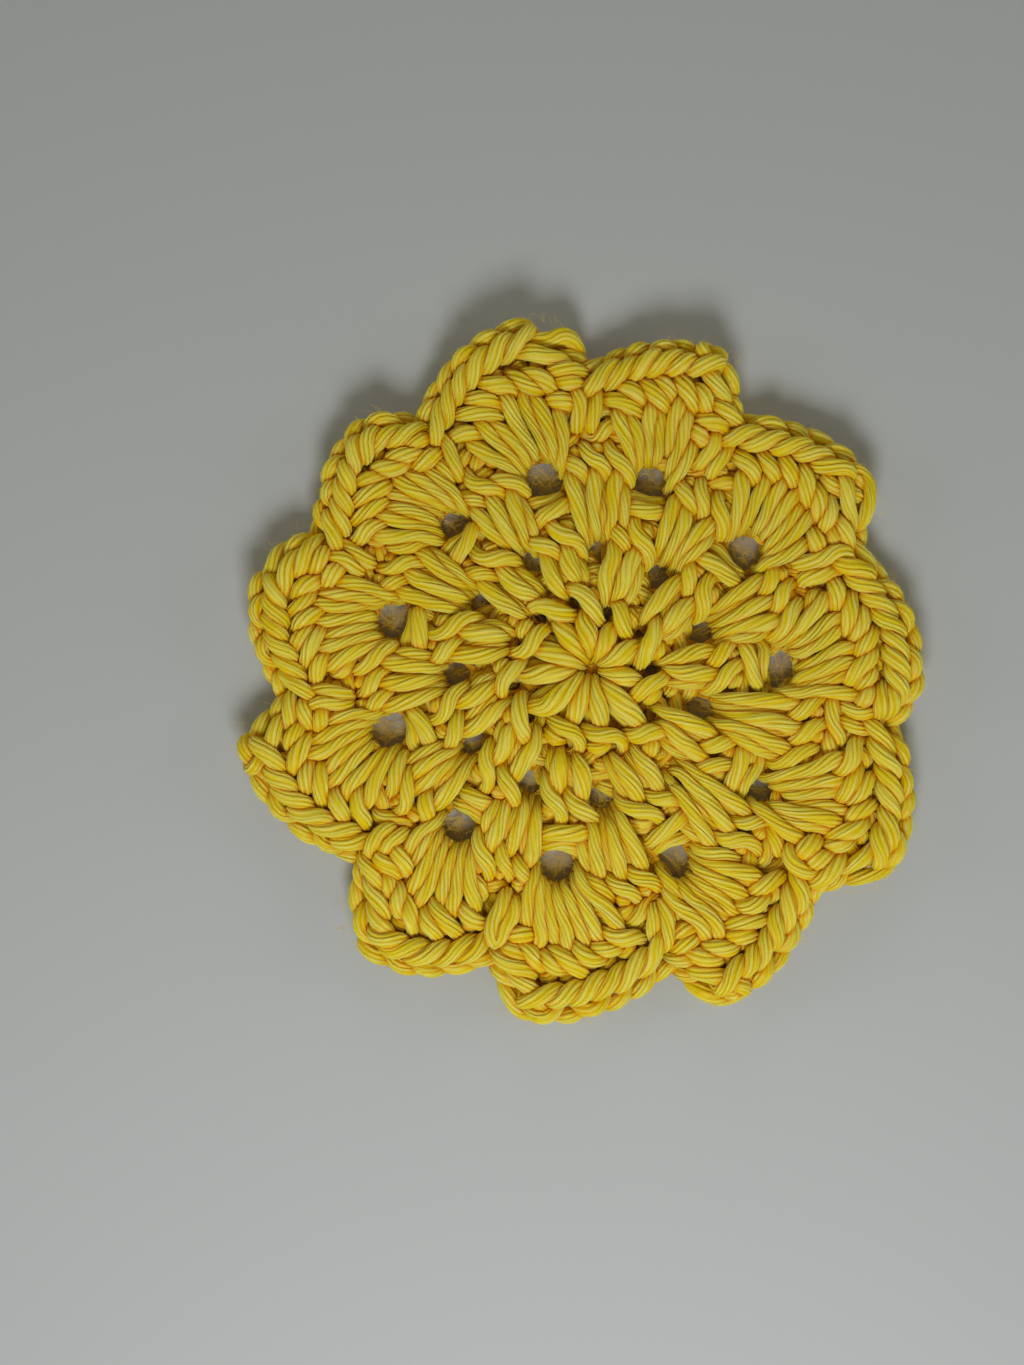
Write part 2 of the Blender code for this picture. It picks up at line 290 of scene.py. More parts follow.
# A petal's shell: its stitches, and how far inside the outline their tops lie, in mm. The first top stands
# so many degrees past the notch and so many mm outside it, and the others from just before the tip to just
# before the next notch. The last one stops at so much of a stitch before the end.
SHELL = 7
RIM_ARC = 2.6
FIRST_TOP = (3.8, 0.2)
BEFORE_TIP = 1.0
BEFORE_NOTCH = 0.5
RIM_PLACES = 200
END_ROOM = 0.25

# The shell's feet fan out round the large hole, so many degrees to each side of outward, and stand so many
# mm off its edge across and along.
FAN = 78.0
OFF_ACROSS = 0.9
OFF_ALONG = 1.1

# The yarn-overs of the shell's first stitch; and of the others, with the distance below the top as a share
# of the stitch's height.
FIRST_WRAPS = ((3.4, 0.3, 1.20), (5.4, 0.6, 1.30))
SHELL_WRAP = (0.38, 2.3, 1.15)

# Where a petal's side climbs further than this from its notch to its tip, in mm, it takes some of the tops.
LONG_CLIMB = 8.0


def petal(k):
    """The short stitch at the petal's clockwise notch, then its shell of tall stitches."""
    row, after = section(k), section(k + 1)
    tie_foot = place(row["tie_at"], row["tie_out"] - TIE_FOOT_SHORT)
    tie_top = place(row["notch_at"] + TIE_LEAN, row["notch_out"] - TIE_TOP_SHORT)
    made = [Stitch("short", tie_foot, tie_top, **TIE_STITCH)]
    middle = place(row["hole_at"], row["hole_out"])
    outward = middle / np.linalg.norm(middle)
    leftward = turned(outward)
    for n, top in enumerate(shell_tops(row, after)):
        turn = math.radians(-FAN + 2 * FAN * n / (SHELL - 1))
        foot = (
            middle
            + leftward * (row["hole_across"] + OFF_ACROSS) * math.sin(turn)
            + outward * (row["hole_along"] + OFF_ALONG) * math.cos(turn)
        )
        below, slope, fat = SHELL_WRAP
        wraps = FIRST_WRAPS if n == 0 else ((below * np.linalg.norm(foot - top), slope, fat),)
        made.append(Stitch("tall", foot, top, wraps=wraps, **SHELL_STITCH))
    return made


def shell_tops(row, after):
    """Where the tops of a petal's shell lie, evenly spaced along its rim."""
    tops = [place(row["notch_at"] + FIRST_TOP[0], row["notch_out"] + FIRST_TOP[1])]
    angles = np.linspace(row["tip_at"] - BEFORE_TIP, after["notch_at"] - BEFORE_NOTCH, RIM_PLACES)
    line = round_middle(angles, reach(angles) - RIM_ARC)
    climbs = int(np.linalg.norm(line[0] - tops[0]) > LONG_CLIMB)
    if climbs:
        line = np.vstack([tops, line])
    gone = along_way(line)
    for n in range(SHELL - 1):
        share = (n + climbs) / (SHELL - 1 + END_ROOM + climbs)
        tops.append(np.array([np.interp(share * gone[-1], gone, line[:, axis]) for axis in (0, 1)]))
    return tops


def loops(stitches, rng):
    """The yarn's way through a round of stitches: rows of x, y, w and fatness, and each row's section."""
    way, owners = [], []
    for k, stitch in enumerate(stitches):
        part = loop_along_top(stitch, stitches[k - 1])
        part += {"tall": tall, "short": short, "chain": chain}[stitch.kind](stitch)
        part = np.array(part)
        whole = rng.normal(0.0, UNEVEN, 3)
        part[:, :3] += (whole + rng.normal(0.0, UNEVEN / 3, (len(part), 3))) * (1.0, 1.0, 0.5)
        part[:, 3] *= rng.normal(1.0, UNEVEN_FAT)
        way += list(part)
        owners += [k * len(SECTIONS) // len(stitches)] * len(part)
    return np.array(way), owners


# A loop that spans more mm than this is an arch over a gap: its back strand hangs so many yarns into it.
ARCH = 7.0
ARCH_HANG = 1.1

# How far past a top's ends, in mm, the loop along it would reach at a share of 1 past them.
NECK_REACH = 4.3

# The loop along the top, from the stitch before and back to it. Each row: its share of the way from this
# top to the one before, how far out it lies, its w where it is covered and where it shows, all three in
# yarns, and its fatness. Between the tops, rows covered deeper than BACK_STRAND are the back strand's.
TOP_LOOP = (
    (1.30, 0.10, -0.30, -0.30, 0.70),
    (1.05, -0.12, -0.25, 0.45, 0.92),
    (0.62, -0.52, -0.25, 0.78, 1.02),
    (0.15, -0.92, -0.25, 0.82, 1.05),
    (-0.28, -1.26, -0.25, 0.60, 0.98),
    (-0.62, -1.45, -0.35, 0.00, 0.85),
    (-0.62, -0.70, -0.50, -0.40, 0.78),
    (-0.40, 0.05, -0.50, -0.40, 0.90),
    (0.00, 0.50, -0.55, -0.15, 1.00),
    (0.50, 0.72, -0.60, 0.00, 1.05),
    (0.95, 0.45, -0.50, -0.20, 1.00),
    (1.25, -0.10, -0.65, -0.60, 0.80),
)
BACK_STRAND = -0.4


def loop_along_top(stitch, before):
    """The loop that the stitch before left on the hook: it lies along the top, round this stitch's neck."""
    toward = before.top - stitch.top
    outward = turned(toward) / np.linalg.norm(toward)
    length = np.linalg.norm(toward)
    reach_on = min(1.0, NECK_REACH / length)
    rows = []
    for share, out, covered, shown, fat in TOP_LOOP:
        if 0 < share < 1:
            along = share
        elif share < 0:
            along = share * reach_on
        else:
            along = 1 + (share - 1) * reach_on
        sag = stitch.dip * 4 * along * (1 - along) if 0 < along < 1 else 0.0
        arched = length > ARCH and 0 < share < 1 and covered < BACK_STRAND
        hang = ARCH_HANG * YARN if arched else 0.0
        spot = stitch.top + along * toward + (out * YARN - sag + hang) * outward
        w = covered + (shown - covered) * stitch.shown
        rows.append((*spot, w * YARN, fat))
    return rows


def on_stem(stitch, rows):
    """Places given as (share of the pitch to the left, mm down from the top, w in yarns, fatness)."""
    down = stitch.foot - stitch.top
    height = np.linalg.norm(down)
    left = turned(-down / height)
    placed = []
    for across, below, w, fat in rows:
        share = below / height
        pitch = stitch.pitch[1] + (stitch.pitch[0] - stitch.pitch[1]) * min(share, 1.0)
        spot = stitch.top + share * down + across * pitch * left
        placed.append((*spot, w * YARN, fat))
    return placed


# How far a pulled-up loop reaches past what it is worked into, in yarns. Where a tall stitch's second strand
# shows, it lies so much of the pitch aside; where it is hidden, it is so much thinner.
PAST_FOOT = 0.35
ASIDE = 0.42
HIDDEN_THIN = 0.6


def tall(stitch):
    """A tall stitch: its yarn-overs, the loop pulled up out of the gap, and the loops drawn through."""
    height = np.linalg.norm(stitch.foot - stitch.top)
    wrap, rise, _ = stitch.wraps[0]
    low = sum(stitch.wraps[-1][:2])
    leaf = (low + height) / 2
    past = height + PAST_FOOT * YARN
    seen = stitch.twin > 0.0
    aside = ASIDE if seen else 0.0
    thin = 1.0 if seen else HIDDEN_THIN
    rows = [(-0.40, 0.5 * wrap, -0.80, 0.85)]
    for below, slope, fat in stitch.wraps:
        rows += [
            (0.20, below - 1.30 * slope, -0.85, 0.80),
            (0.74, below - 1.05 * slope, -0.20, 0.85),
            (0.50, below - 0.68 * slope, 0.50, 0.85 * fat),
            (0.00, below, 0.92, fat),
            (-0.50, below + 0.68 * slope, 0.55, 0.85 * fat),
            (-0.74, below + 1.05 * slope, -0.20, 0.85),
        ]
    rows += [
        (-0.20, low + 0.3 * rise, -0.75, 0.80),
        (-0.15, leaf, -0.85, 0.75),
        (-0.20, height + stitch.under * YARN, -0.80, 0.75),
        (0.16 - aside, past if seen else height - 0.1 * YARN, -0.10, 0.58 * thin),
        (0.12 - aside, height - 0.3 * YARN, stitch.twin + 0.10, 0.62 * thin),
        (0.14 - aside, leaf, stitch.twin, 0.88 * thin),
        (-0.20, low - 0.2 * rise, 0.00, 0.80),
        (-0.12, wrap + 0.1 * rise, 0.00, 0.80),
        (0.12, wrap - 0.1 * rise, 0.00, 0.85),
        (0.22, low - 0.5 * rise, 0.40, 1.05),
        (0.18, leaf - 0.1 * (height - low), 0.80, stitch.leaf),
        (0.12, leaf + 0.2 * (height - low), 0.85, 0.86 * stitch.leaf),
        (0.08, height - 0.25 * YARN, 0.75, 0.75),
        (0.06, past, -0.10, 0.58),
        (0.15, height + (stitch.under + 0.1) * YARN, -0.80, 0.75),
        (0.20, leaf, -0.70, 0.78),
        (0.25, wrap + 0.3 * rise, -0.60, 0.80),
        (0.34, wrap - 0.6 * YARN, -0.05, 0.90),
        (0.20, 0.56 * wrap, *stitch.neck),
        (-0.10, 0.64 * wrap, *stitch.neck),
        (-0.32, 0.70 * wrap, -0.05, 0.85),
        (-0.10, wrap - 0.3 * YARN, -0.45, 0.80),
        (0.00, 0.50 * wrap, -0.65, 0.80),
        (0.00, 0.25 * YARN, -0.35, 0.80),
    ]
    return on_stem(stitch, rows)


def short(stitch):
    """A short stitch: the loop pulled up reaches the top itself."""
    height = np.linalg.norm(stitch.foot - stitch.top)
    past = height + PAST_FOOT * YARN
    return on_stem(
        stitch,
        (
            (-0.25, 0.5 * height, -0.70, 0.80),
            (-0.25, height - 0.2 * YARN, -0.70, 0.75),
            (-0.22, past, 0.10, 0.85),
            (-0.26, height - 0.4 * YARN, 0.85, 0.95),
            (-0.28, 0.5 * height, 0.90, 1.00),
            (-0.18, 0.3 * YARN, 0.40, 0.90),
            (0.12, 0.2 * YARN, 0.10, 0.85),
            (0.24, 0.45 * height, 0.85, 1.00),
            (0.24, height - 0.4 * YARN, 0.85, 0.95),
            (0.22, past, 0.10, 0.85),
            (0.20, height - 0.2 * YARN, -0.70, 0.75),
            (0.10, 0.5 * height, -0.70, 0.80),
            (0.00, 0.25 * YARN, -0.40, 0.80),
        ),
    )


def chain(stitch):
    """A chain stitch is only the next loop, drawn through the last one."""
    return [(*stitch.top, -0.65 * YARN, 0.8)]


# Each stretch between two rows of the yarn's way is first drawn with so many places.
FINE = 12


def smooth_curve(points, step):
    """A closed curve through the points, with a place every step mm; its last column tells which point each
    place is past."""
    here = points
    before, after, beyond = np.roll(here, 1, 0), np.roll(here, -1, 0), np.roll(here, -2, 0)
    fine = []
    for t in np.linspace(0, 1, FINE, endpoint=False):
        spots = 0.5 * (
            2 * here
            + (after - before) * t
            + (2 * before - 5 * here + 4 * after - beyond) * t**2
            + (3 * here - before - 3 * after + beyond) * t**3
        )
        fine.append(np.column_stack([spots, np.arange(len(points)) + t]))
    fine = np.stack(fine, 1).reshape(-1, points.shape[1] + 1)
    closing = fine[:1].copy()
    closing[0, -1] = len(points)
    closed = np.vstack([fine, closing])
    gone = along_way(closed[:, :3])
    count = int(gone[-1] / step)
    at = np.arange(count) * gone[-1] / count
    return np.stack([np.interp(at, gone, closed[:, n]) for n in range(closed.shape[1])], 1)


class Yarn:
    """All rounds of the yarn together: each place's spot and radius in mm, its round and its number in it,
    the places after and before it, and, once it is swept, its direction and the mm of yarn up to it."""

    def __init__(self, ways):
        counts = [len(way) for way in ways]
        first = np.concatenate([[0], np.cumsum(counts)])
        runs = [np.arange(a, b) for a, b in zip(first, first[1:])]
        self.ways = ways
        self.first = first
        self.spots = np.vstack([way[:, :3] for way in ways])
        self.radius = np.concatenate([way[:, 3] for way in ways]) * YARN / 2
        self.round = np.repeat(np.arange(len(ways)), counts)
        self.index = np.concatenate([np.arange(count) for count in counts])
        self.length = np.repeat(counts, counts)
        self.next = np.concatenate([np.roll(run, -1) for run in runs])
        self.last = np.concatenate([np.roll(run, 1) for run in runs])
        self.along = np.zeros_like(self.spots)
        self.gone = np.zeros(len(self.spots))

    def close_pairs(self, far):
        """Pairs of places nearer than far mm, apart from those that are near along the yarn itself."""
        tree = kdtree.KDTree(len(self.spots))
        for n, spot in enumerate(self.spots):
            tree.insert(spot, n)
        tree.balance()
        a, b = [], []
        for n, spot in enumerate(self.spots):
            for _, other, _ in tree.find_range(spot, far):
                if other > n:
                    a.append(n)
                    b.append(other)
        a, b = np.array(a), np.array(b)
        steps = np.abs(self.index[a] - self.index[b])
        steps = np.minimum(steps, self.length[a] - steps)
        kept = (self.round[a] != self.round[b]) | (steps >= APART)
        return a[kept], b[kept]


# Strands touch where they are nearer than CONTACT of their radii together. Places on one strand count as
# neighbours only when they are at least APART steps from each other along it.
CONTACT = 0.86
APART = 4

# One pass of settling: how hard strands push each other, how much less in a crowd, and how far a place goes
# between those beside it, back home, to its distance from the next one, and back into the fabric.
PASSES = 45
PUSH = 0.5
CROWD = 0.6
EVEN = 0.15
HOME = 0.04
STRETCH = 0.4
FLATTEN = 0.6

# Near strands are looked for anew after so many passes, within so many yarns.
LOOK_AFTER = 6
NEAR = 1.35

# Last, in so many passes, every bend is evened out a little, and more where its radius is so tight that the
# yarn's own radius is over this share of it.
FINAL_SMOOTHING = 25
SOFTEST_BEND = 0.45
EVEN_OUT = (0.05, 0.6)

# A length, in mm, that is as good as none.
TINY = 1e-6


def settle(yarn):
    """The loops push each other aside, off the gaps and inside the outline, and their bends even out."""
    home = yarn.spots.copy()
    rest = np.linalg.norm(home[yarn.next] - home, axis=1)
    holes = gaps()
    for n in range(PASSES):
        if n % LOOK_AFTER == 0:
            a, b = yarn.close_pairs(YARN * NEAR)
        spots = yarn.spots
        gap = spots[b] - spots[a]
        distance = np.maximum(np.linalg.norm(gap, axis=1), TINY)
        wanted = CONTACT * (yarn.radius[a] + yarn.radius[b])
        overlap = np.maximum(wanted - distance, 0.0)
        push = gap * (overlap / distance)[:, None]
        move = np.zeros_like(spots)
        weight = np.zeros(len(spots))
        np.add.at(move, b, push)
        np.add.at(move, a, -push)
        np.add.at(weight, a, overlap > 0)
        np.add.at(weight, b, overlap > 0)
        move *= (PUSH / np.maximum(weight, 1.0) ** CROWD)[:, None]
        even = (spots[yarn.next] + spots[yarn.last]) / 2 - spots
        spots = spots + move + EVEN * even + HOME * (home - spots)
        for _ in range(2):
            run = spots[yarn.next] - spots
            length = np.maximum(np.linalg.norm(run, axis=1), TINY)
            pull = STRETCH * run * ((length - rest) / length)[:, None]
            spots = spots + pull - pull[yarn.last]
        spots[:, 2] += FLATTEN * (np.clip(spots[:, 2], -DEEPEST, HIGHEST) - spots[:, 2])
        spots[:, :2] = off_gaps(spots, yarn.radius, holes)
        spots[:, :2] = inside_outline(spots[:, :2], yarn.radius)
        yarn.spots = spots
    for _ in range(FINAL_SMOOTHING):
        even = (yarn.spots[yarn.next] + yarn.spots[yarn.last]) / 2 - yarn.spots
        bend = np.linalg.norm(even, axis=1) * 2 / STEP**2 * yarn.radius
        yarn.spots = yarn.spots + np.clip(bend - SOFTEST_BEND, *EVEN_OUT)[:, None] * even
    yarn.spots[:, 2] = np.maximum(yarn.spots[:, 2], WIDEST_PLY * yarn.radius - HALF_FABRIC)


# The middle of the starting ring. It stands a little off the centre, so that it has a direction outward.
MIDDLE = place(90.0, 0.01)


def gaps():
    """The gaps between the stitches: each one's middle, half sizes across and outward, and taper."""
    found = [(MIDDLE, MIDDLE_HALF, SHUT_TAPER)]
    for row in SECTIONS:
        hole = (row["hole_across"], row["hole_along"])
        eye = (row["eye_across"], row["eye_along"])
        eye_taper = EYE_TAPER
        if min(eye) == 0.0:
            eye, eye_taper = SHUT_HALF, SHUT_TAPER
        found += [
            (place(row["hole_at"], row["hole_out"]), hole, HOLE_TAPER),
            (place(row["eye_at"], row["eye_out"]), eye, eye_taper),
            (place(row["start_at"], row["start_out"]), START_HALF, START_TAPER),
        ]
    return found


def gap_axes(middle):
    """The directions across a gap and outward."""
    outward = middle / np.linalg.norm(middle)
    return turned(outward), outward


def at_gap(middle, u, v):
    """The places u mm across and v mm outward from a gap's middle."""
    left, outward = gap_axes(middle)
    return middle + np.outer(u, left) + np.outer(v, outward)


# A strand keeps so much of its radius out of a gap and inside the outline, and goes so much of the way back
# there in one pass. Only strands within so many mm of a gap are looked at, and one nearer to its middle
# than the last share is pushed as if it were at that share.
CLEAR_OF_GAP = 0.88
INSIDE_RIM = 0.85
GO_BACK = 0.7
GAP_NEAR = 3.0
DEEPEST_IN_GAP = 0.2


def off_gaps(spots, radius, holes):
    """Strands that reach into a gap go back to its edge, those at the back of the fabric less far."""
    flat = spots[:, :2].copy()
    depth_share = np.clip(-spots[:, 2] / DEEPEST, 0.0, 1.0)
    for middle, half, taper in holes:
        left, outward = gap_axes(middle)
        offset = flat - middle
        near = np.hypot(offset[:, 0], offset[:, 1]) < half[1] + GAP_NEAR
        u, v = offset[near] @ left, offset[near] @ outward
        share = 1 - taper * depth_share[near]
        room_u = half[0] * share + CLEAR_OF_GAP * radius[near]
        room_v = half[1] * share + CLEAR_OF_GAP * radius[near]
        depth = np.hypot(u / room_u, v / room_v)
        grow = np.where(depth < 1, 1 + GO_BACK * (1 / np.maximum(depth, DEEPEST_IN_GAP) - 1), 1.0)
        flat[near] = at_gap(middle, u * grow, v * grow)
    return flat


def inside_outline(flat, radius):
    """Strands that stand past the outline are pulled back to it."""
    out = np.hypot(flat[:, 0], flat[:, 1])
    most = reach(np.degrees(np.arctan2(flat[:, 1], flat[:, 0]))) - INSIDE_RIM * radius
    return flat * np.where(out > most, 1 - GO_BACK * (out - most) / np.maximum(out, 1.0), 1.0)[:, None]


# Each ply round the yarn: its valley and its two shoulders. For each, its place as a share of a ply, how far
# out it stands, how much that changes along the yarn, and how much of the light gets there. The colour takes
# that up as painted shade in the valleys and a paler painted highlight on the tops.
PLY_PROFILE = ((0.0, 0.82, 0.06, 0.05), (0.27, 1.03, 0.05, 0.5), (0.73, 1.03, 0.05, 0.5))
WIDEST_PLY = 1.08
LIGHT_CHANGE = 0.35

# The plies change every so many mm along the yarn, and wander so many radians round it.
PLY_KNOT = 4.5
PLY_WANDER = 0.18
FEWEST_KNOTS = 4


def drift(count, gone, rng):
    """Smooth random changes along a closed yarn, a column for each of count things, from about -1 to 1."""
    knots = max(int(gone[-1] / PLY_KNOT), FEWEST_KNOTS)
    values = rng.uniform(-1.0, 1.0, (knots, count))
    values = np.vstack([values, values[:1]])
    at = np.linspace(0.0, gone[-1], knots + 1)
    return np.stack([np.interp(gone, at, values[:, n]) for n in range(count)], 1)


def ply_rings(gone, rng):
    """For each place along the yarn, the angles of its ring of points, their radii as shares of the yarn's,
    and how open to the light each one is."""
    share, out, change, light = (np.tile(values, PLIES) for values in zip(*PLY_PROFILE))
    ply = np.repeat(np.arange(PLIES), len(PLY_PROFILE))
    uneven = drift(len(ply), gone, rng)
    wander = drift(PLIES, gone, rng)[:, ply]
    angles = 2 * math.pi * (ply + share)[None, :] / PLIES + PLY_WANDER * wander
    return angles, out[None, :] + change[None, :] * uneven, light[None, :] + LIGHT_CHANGE * uneven


def carried_frames(spots):
    """A side direction for every place of a closed way, carried along without turning about it."""
    along = np.roll(spots, -1, 0) - np.roll(spots, 1, 0)
    along /= np.linalg.norm(along, axis=1)[:, None]
    side = np.zeros_like(spots)
    current = np.cross(along[0], (0.0, 0.0, 1.0))
    for n, direction in enumerate(along):
        current = current - direction * np.dot(current, direction)
        current = current / np.linalg.norm(current)
        side[n] = current
    return along, side


def swept(yarn, rng):
    """The yarn's surface: a twisted ring of points round every place, and how open to light each one is."""
    sides = PLIES * len(PLY_PROFILE)
    rings = np.zeros((len(yarn.spots), sides, 3))
    light = np.zeros((len(yarn.spots), sides))
    for a, b in zip(yarn.first, yarn.first[1:]):
        spots = yarn.spots[a:b]
        along, side = carried_frames(spots)
        up = np.cross(along, side)
        gone = along_way(spots)
        angles, radii, light[a:b] = ply_rings(gone, rng)
        turn = angles - (2 * math.pi * gone / TWIST)[:, None]
        size = yarn.radius[a:b, None] * radii
        rings[a:b] = (
            spots[:, None, :]
            + (size * np.cos(turn))[..., None] * side[:, None, :]
            + (size * np.sin(turn))[..., None] * up[:, None, :]
        )
        yarn.along[a:b] = along
        yarn.gone[a:b] = gone
    return rings, light


# Strands can press on each other within so many yarns, where the plane between them isn't nearly across one
# of them. The painted shade beside a contact is so many mm wide.
PRESS_NEAR = 1.5
LEAST_ACROSS = 0.3
CONTACT_SHADE = 0.6


def pressed(yarn, rings):
    """Each strand ends where its neighbour begins: points past the plane between them move back to it. Also
    how near each point is to such a contact, from 0 to 1, which the colour takes up as painted shade."""
    a, b = yarn.close_pairs(YARN * PRESS_NEAR)
    here, other = np.concatenate([a, b]), np.concatenate([b, a])
    gap = yarn.spots[other] - yarn.spots[here]
    distance = np.linalg.norm(gap, axis=1)
    size, other_size = yarn.radius[here], yarn.radius[other]
    touching = distance < size + other_size
    here, gap, distance, size, other_size = (v[touching] for v in (here, gap, distance, size, other_size))
    facing = gap / np.maximum(distance, TINY)[:, None]
    plane = distance * size / (size + other_size)
    along = yarn.along[here]
    across = facing - along * np.sum(facing * along, axis=1)[:, None]
    squared = np.sum(across**2, axis=1)
    kept = np.flatnonzero(squared > LEAST_ACROSS)
    order = kept[np.argsort(here[kept], kind="stable")]
    here, facing, plane, across, squared = (v[order] for v in (here, facing, plane, across, squared))
    slot = np.arange(len(here)) - np.searchsorted(here, here, side="left")
    contact = np.zeros(rings.shape[:2])
    for n in range(slot.max() + 1):
        chosen = slot == n
        ring = here[chosen]
        offset = rings[ring] - yarn.spots[ring][:, None, :]
        depth = np.einsum("rvc,rc->rv", offset, facing[chosen]) - plane[chosen][:, None]
        back = np.maximum(depth, 0.0) / squared[chosen][:, None]
        rings[ring] -= back[..., None] * across[chosen][:, None, :]
        contact[ring] = np.maximum(contact[ring], np.clip(1 + depth / CONTACT_SHADE, 0.0, 1.0) ** 2)
    return rings, contact


def bent(points):
    """From the flat fabric to the coaster's form, in metres."""
    x, y, w = points[..., 0], points[..., 1], points[..., 2]
    z = underside(x, y) + HALF_FABRIC + w
    return np.stack([x, y, z], -1) * MM


def hex_colour(code):
    """An sRGB hex code as linear red, green, blue and alpha."""
    channels = [int(code[n:n + 2], 16) / 255 for n in (1, 3, 5)]
    linear = [c / 12.92 if c <= 0.04045 else ((c + 0.055) / 1.055) ** 2.4 for c in channels]
    return (*linear, 1.0)


def add(tree, kind, settings=None, **links):
    """A node with its settings, and what goes into its sockets, named or numbered as in i0: a value or
    another node's output."""
    node = tree.nodes.new(kind)
    for name, value in (settings or {}).items():
        setattr(node, name, value)
    for name, value in links.items():
        numbered = name[1:].isdigit()
        socket = node.inputs[int(name[1:]) if numbered else name.replace("_", " ")]
        if isinstance(value, bpy.types.NodeSocket):
            tree.links.new(value, socket)
        else:
            socket.default_value = value
    return node


def new_material(name):
    """A new node material, its tree and its shader."""
    material = bpy.data.materials.new(name)
    material.use_nodes = True
    return material, material.node_tree, material.node_tree.nodes["Principled BSDF"]


def linked(name, data):
    """A new object in the scene, with this mesh, light or camera."""
    thing = bpy.data.objects.new(name, data)
    bpy.context.scene.collection.objects.link(thing)
    return thing


def made_piece(name, points, faces, material):
    """A piece with these points and faces."""
    mesh = bpy.data.meshes.new(name)
    mesh.from_pydata(points, [], faces)
    mesh.materials.append(material)
    return linked(name, mesh)


# The cotton's fibres, as noise: so many grains a mm along the yarn, and so many in its radius. That draws
# them as streaks 2.5 mm long and 0.13 mm wide. The real ones, of 0.02 mm, are too fine to show.
GRAIN_ALONG = 0.4
GRAIN_ACROSS = 9.0
FIBRE_RELIEF = 0.22 * MM


def plied_cotton():
    """Cotton, spun and plied: matte, with fine fibres along each ply. Painted shade: the valleys between its
    plies and the places where strands press on each other are painted a denser, redder yellow, for the light
    there has gone through yarn; the tops of its plies are painted paler, as a painted highlight."""
    material, tree, shader = new_material("plied_cotton")
    fibre = add(tree, "ShaderNodeAttribute", {"attribute_name": "fibre"})
    contact = add(tree, "ShaderNodeAttribute", {"attribute_name": "contact"})
    light = add(tree, "ShaderNodeAttribute", {"attribute_name": "light"})
    streaks = add(tree, "ShaderNodeTexNoise", Vector=fibre.outputs["Vector"], Scale=1.0, Detail=3.0)
    relief = add(
        tree, "ShaderNodeMath", {"operation": "MULTIPLY_ADD"},
        i0=streaks.outputs["Fac"], i1=0.8, i2=light.outputs["Fac"],
    )
    # The ramp paints shade and highlight: where little light gets, in the ply valleys, a deeper, redder
    # yellow, and on the ply tops a paler yellow; the fibre streaks vary it at random.
    tone = add(tree, "ShaderNodeValToRGB", Fac=relief.outputs["Value"])
    ramp = tone.color_ramp.elements
    ramp[0].color, ramp[0].position = hex_colour("#F4CA00"), 0.2
    ramp[1].color, ramp[1].position = hex_colour("#FFEA66"), 1.0
    ramp.new(0.66).color = hex_colour("#FBDC00")
    # Beside a contact the colour turns a deep orange: painted shade where strands press on each other.
    lit = add(
        tree, "ShaderNodeMix", {"data_type": "RGBA"},
        i0=contact.outputs["Fac"], i6=tone.outputs["Color"], i7=hex_colour("#FFB200"),
    )
    bump = add(tree, "ShaderNodeBump", Height=relief.outputs["Value"], Strength=1.0, Distance=FIBRE_RELIEF)
    tree.links.new(lit.outputs[2], shader.inputs["Base Color"])
    tree.links.new(bump.outputs["Normal"], shader.inputs["Normal"])
    shader.inputs["Roughness"].default_value = 0.42
    shader.inputs["Subsurface Weight"].default_value = 0.5
    shader.inputs["Subsurface Radius"].default_value = (1.0, 0.55, 0.06)
    shader.inputs["Subsurface Scale"].default_value = 0.8 * MM
    shader.inputs["Specular IOR Level"].default_value = 0.3
    return material


# The tangle of the inner strands: so many grains a mm, much coarser than real fibres, so that it shows.
TANGLE_GRAINS = 0.7
TANGLE_RELIEF = 0.5 * MM


def deep_shade_cotton():
    """The same cotton deep inside the stitches, painted a darker orange yellow as painted shade, because the
    light there only comes through yarn; the fibres of its strands lie any way."""
    material, tree, shader = new_material("deep_shade_cotton")
    spot = add(tree, "ShaderNodeTexCoord")
    tangle = add(
        tree, "ShaderNodeTexNoise", Vector=spot.outputs["Object"], Scale=TANGLE_GRAINS / MM, Detail=3.0,
        Distortion=2.5,
    )
    tone = add(tree, "ShaderNodeValToRGB", Fac=tangle.outputs["Fac"])
    ramp = tone.color_ramp.elements
    # From deep brown to orange yellow: painted deep shade, varied at random by the tangle.
    ramp[0].color, ramp[0].position = hex_colour("#A87000"), 0.35
    ramp[1].color, ramp[1].position = hex_colour("#FFC400"), 0.65
    bump = add(tree, "ShaderNodeBump", Height=tangle.outputs["Fac"], Strength=1.0, Distance=TANGLE_RELIEF)
    tree.links.new(tone.outputs["Color"], shader.inputs["Base Color"])
    tree.links.new(bump.outputs["Normal"], shader.inputs["Normal"])
    shader.inputs["Roughness"].default_value = 0.9
    return material


def cotton_fibre():
    """A single cotton fibre: thin enough to let light through, so it shows as a deep warm yellow."""
    material, _, shader = new_material("cotton_fibre")
    shader.inputs["Base Color"].default_value = hex_colour("#F4CC10")
    shader.inputs["Roughness"].default_value = 0.7
    return material


# The pieces that each round is in: the pattern of their names, and how many sections go in one.
ROUND_PIECES = (("first_round", 11), ("second_round", 11), ("third_round_{}", 6), ("petal_{:02d}", 1))


def piece_labels(yarn, owners_of):
    """The piece that each place of the yarn belongs to."""
    labels = []
    for way, (pattern, sections_in), owners in zip(yarn.ways, ROUND_PIECES, owners_of):
        labels += [pattern.format(owners[int(mark)] // sections_in + 1) for mark in way[:, -1]]
    return np.array(labels)


